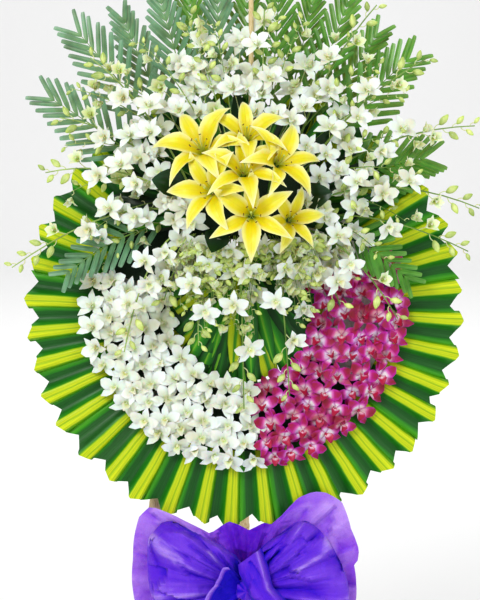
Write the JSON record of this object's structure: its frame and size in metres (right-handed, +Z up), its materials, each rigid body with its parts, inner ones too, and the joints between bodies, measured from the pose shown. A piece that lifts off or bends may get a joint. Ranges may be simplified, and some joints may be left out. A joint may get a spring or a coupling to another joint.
{
  "type": "funeral wreath",
  "caption": "Standing funeral wreath on a bamboo easel: pleated leaf collar, white and magenta orchid ring, lily and palm spray on top, purple bow below.",
  "frame": {"origin": "on the floor under the middle of the whole wreath's box", "axes": "+Z up, -Y the way the wreath faces, +X to the right of someone looking at it from the front"},
  "size_m": [0.9442, 0.7853, 1.6482],
  "materials": {
    "bamboo": "peeled, dry, satin",
    "ring_foam": "expanded polystyrene beads, matt",
    "wet_foam": "dark green, open cells, matt",
    "striped_leaf": "dark green leaf with lime yellow stripes, waxy",
    "palm_leaf": "green leaflets, low gloss",
    "dark_leaf": "deep green, waxy",
    "white_orchid": "soft white petal",
    "magenta_orchid": "velvety magenta petal with a pale middle",
    "yellow_lily": "soft yellow petal with pale tips",
    "purple_cloth": "thin non-woven cloth, slight sheen"
  },
  "bodies": {
    "root": {"front_leg_left": "bamboo", "front_leg_right": "bamboo", "rear_leg": "bamboo", "upper_crossbar": "bamboo", "lower_crossbar": "bamboo", "stake": "bamboo", "foam_ring": "ring_foam", "foam_block": "wet_foam", "leaf_collar_1": "striped_leaf", "leaf_collar_2": "striped_leaf", "leaf_collar_3": "striped_leaf", "leaf_collar_4": "striped_leaf", "leaf_fan": "striped_leaf", "white_orchid_band_upper": "white_orchid", "white_orchid_band_lower": "white_orchid", "magenta_orchid_band_lower": "magenta_orchid", "magenta_orchid_band_upper": "magenta_orchid", "broad_leaf_left": "dark_leaf", "broad_leaf_lower": "dark_leaf", "broad_leaf_right": "dark_leaf", "bow_back_sheet": "purple_cloth", "bow_loop_left": "purple_cloth", "bow_loop_right": "purple_cloth", "bow_knot_and_tails": "purple_cloth", "lily_upper_left": "yellow_lily", "lily_upper": "yellow_lily", "lily_right": "yellow_lily", "lily_centre": "yellow_lily", "lily_left": "yellow_lily", "lily_lower": "yellow_lily", "lily_lower_right": "yellow_lily", "frond_top_left": "palm_leaf", "frond_top_mid_left": "palm_leaf", "frond_top_mid_right": "palm_leaf", "frond_top_right": "palm_leaf", "frond_left_high": "palm_leaf", "frond_left": "palm_leaf", "frond_right_high": "palm_leaf", "frond_right": "palm_leaf", "frond_left_low": "palm_leaf", "frond_right_low": "palm_leaf", "spray_top": "white_orchid", "spray_top_left": "white_orchid", "spray_top_right": "white_orchid", "spray_right_high": "white_orchid", "spray_right_upper": "white_orchid", "spray_right_middle": "white_orchid", "spray_right_lower": "white_orchid", "spray_right_hanging": "white_orchid", "spray_left_high": "white_orchid", "spray_left_upper": "white_orchid", "spray_left_middle": "white_orchid", "spray_left_lower": "white_orchid", "spray_left_hanging": "white_orchid", "spray_mid_left_hanging": "white_orchid", "spray_mid_hanging": "white_orchid", "spray_mid_right_hanging": "white_orchid", "spray_under_lilies": "white_orchid", "spray_beside_lilies": "white_orchid"}
  },
  "joints": []
}
